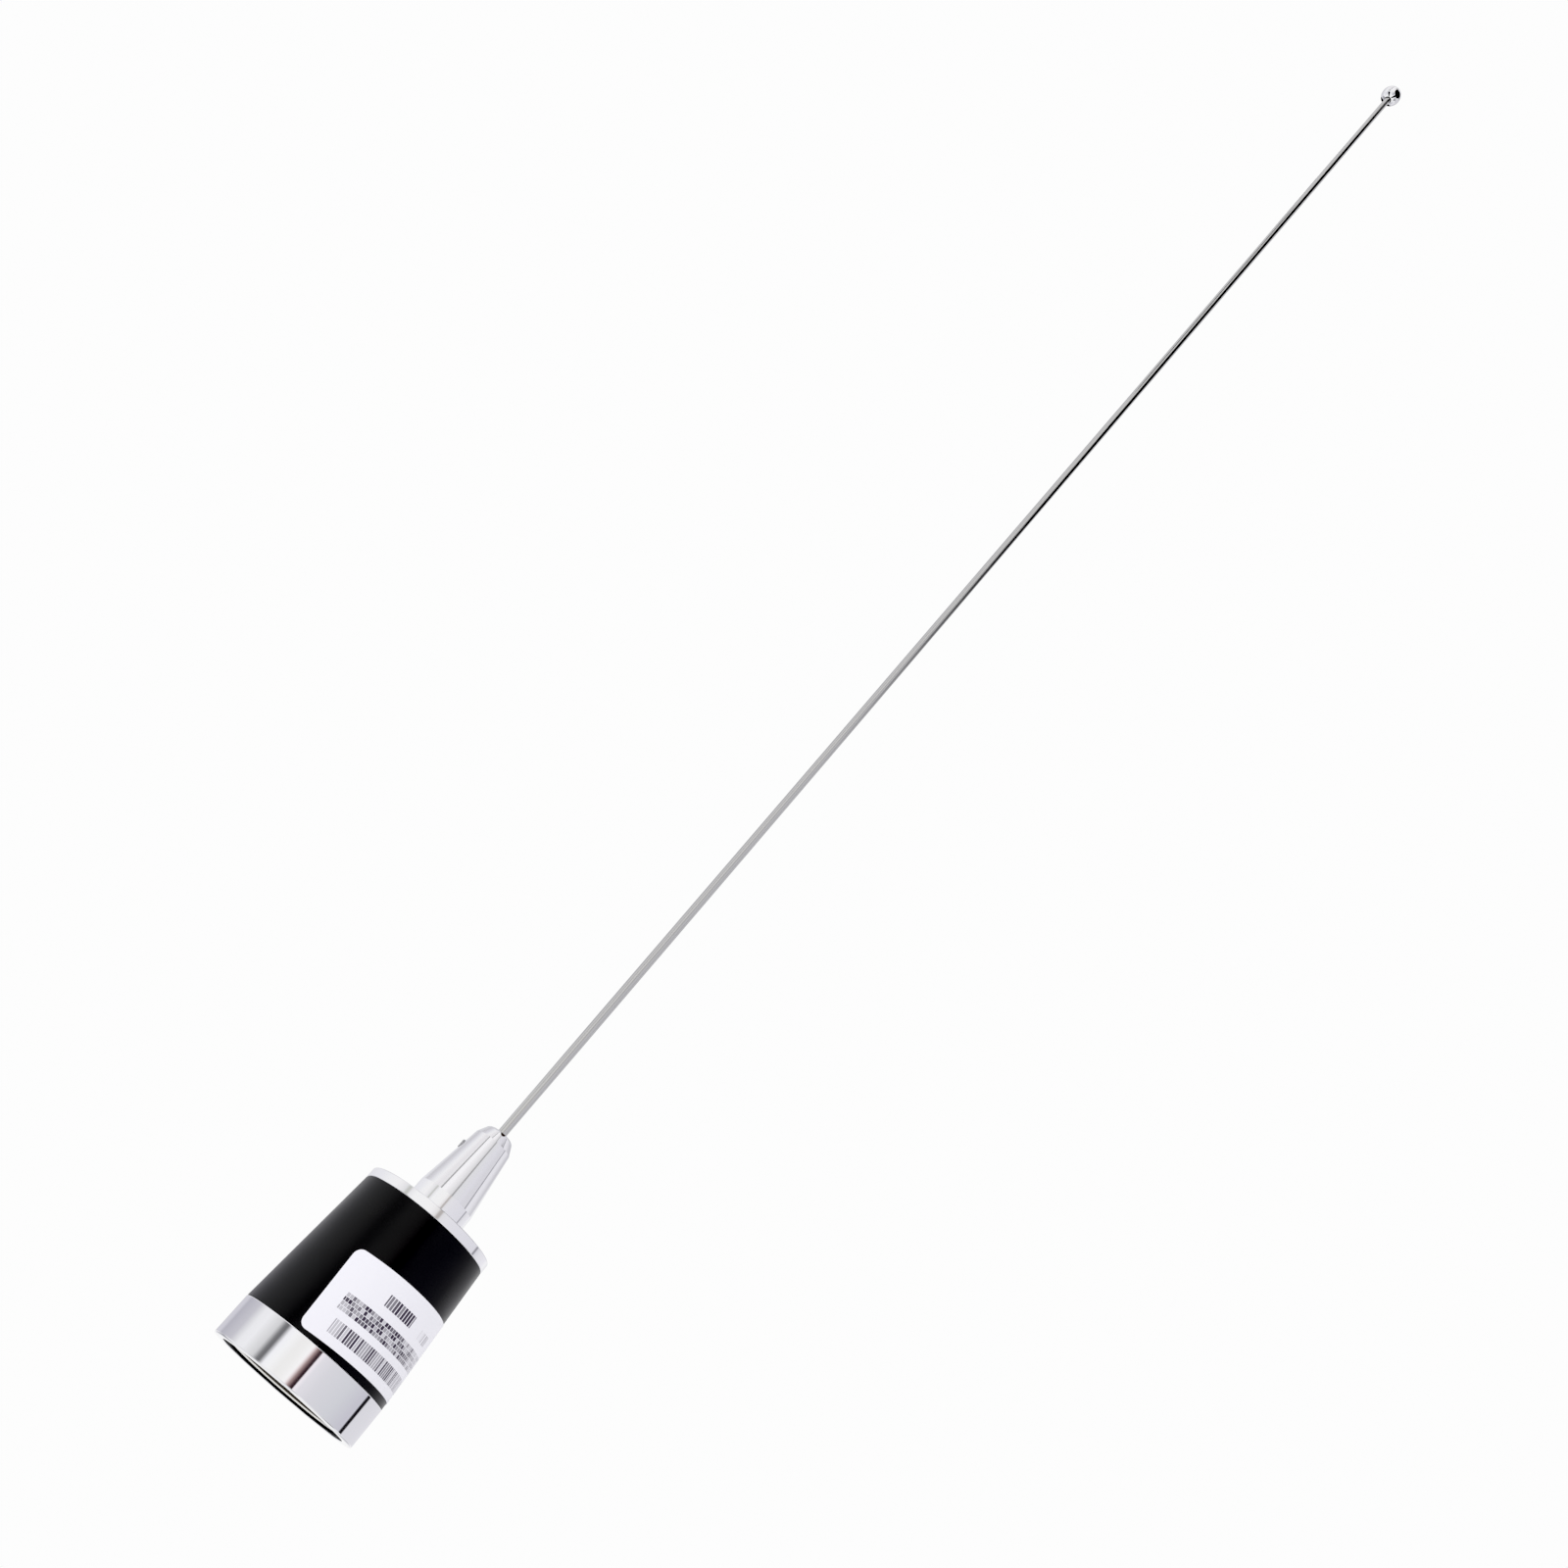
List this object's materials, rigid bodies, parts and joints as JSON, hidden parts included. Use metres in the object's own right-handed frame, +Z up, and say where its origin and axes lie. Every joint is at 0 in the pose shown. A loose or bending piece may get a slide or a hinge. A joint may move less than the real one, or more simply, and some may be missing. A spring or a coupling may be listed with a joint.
{
  "type": "mobile whip antenna",
  "caption": "Base-loaded mobile whip antenna: screw base with sprung contact, tapered coil housing, chromed ferrule and straight whip with a ball tip.",
  "frame": {"origin": "centre of the base rim, in the plane that meets the vehicle's roof", "axes": "+Z up along the whip; -Y is the side that carries the sticker's left edge"},
  "size_m": [0.04, 0.04, 0.6492],
  "materials": {
    "chrome": "bright chrome plate on turned brass",
    "nickel": "nickel plate on turned brass, cut thread",
    "rubber": "matte moulded rubber",
    "insulator": "turned acetal, satin",
    "steel": "plain stainless steel",
    "tinned": "tinned brass sheet",
    "brass": "turned brass",
    "gold_contact": "gold flashed brass contact",
    "former": "turned natural plastic",
    "copper": "enamelled copper wire",
    "housing": "satin black moulded plastic",
    "label": "white film sticker",
    "whip_steel": "centreless ground stainless rod"
  },
  "bodies": {
    "base": {"base_collar": "chrome", "threaded_insert": "nickel", "base_gasket": "rubber", "base_seal": "rubber", "contact_plate": "insulator", "plate_screws": "steel", "ground_tag": "tinned", "contact_barrel": "brass", "barrel_plug": "brass", "barrel_nut": "brass", "feed_tag": "tinned", "plunger_spring": "steel", "coil_form": "former", "coil_winding": "copper", "tap_lead": "copper", "coil_housing": "housing", "label": "label", "top_cap": "chrome", "cap_seal": "rubber", "whip_stud": "brass", "stud_nut": "brass", "stud_tag": "tinned", "whip_ferrule": "chrome", "set_screw": "steel"},
    "plunger": {"contact_plunger": "gold_contact"},
    "rod": {"whip": "whip_steel", "tip_ball": "chrome"}
  },
  "joints": [
    {"name": "plunger_slide", "type": "slide", "parent": "base", "child": "plunger", "axis": [0, 0, 1], "range_m": [0, 0.0015], "stiffness_N_per_m": 800, "springref_m": -0.001, "deforming": ["plunger_spring"]},
    {"name": "whip_slide", "type": "slide", "parent": "base", "child": "rod", "axis": [0, 0, 1], "range_m": [0, 0.008]}
  ]
}
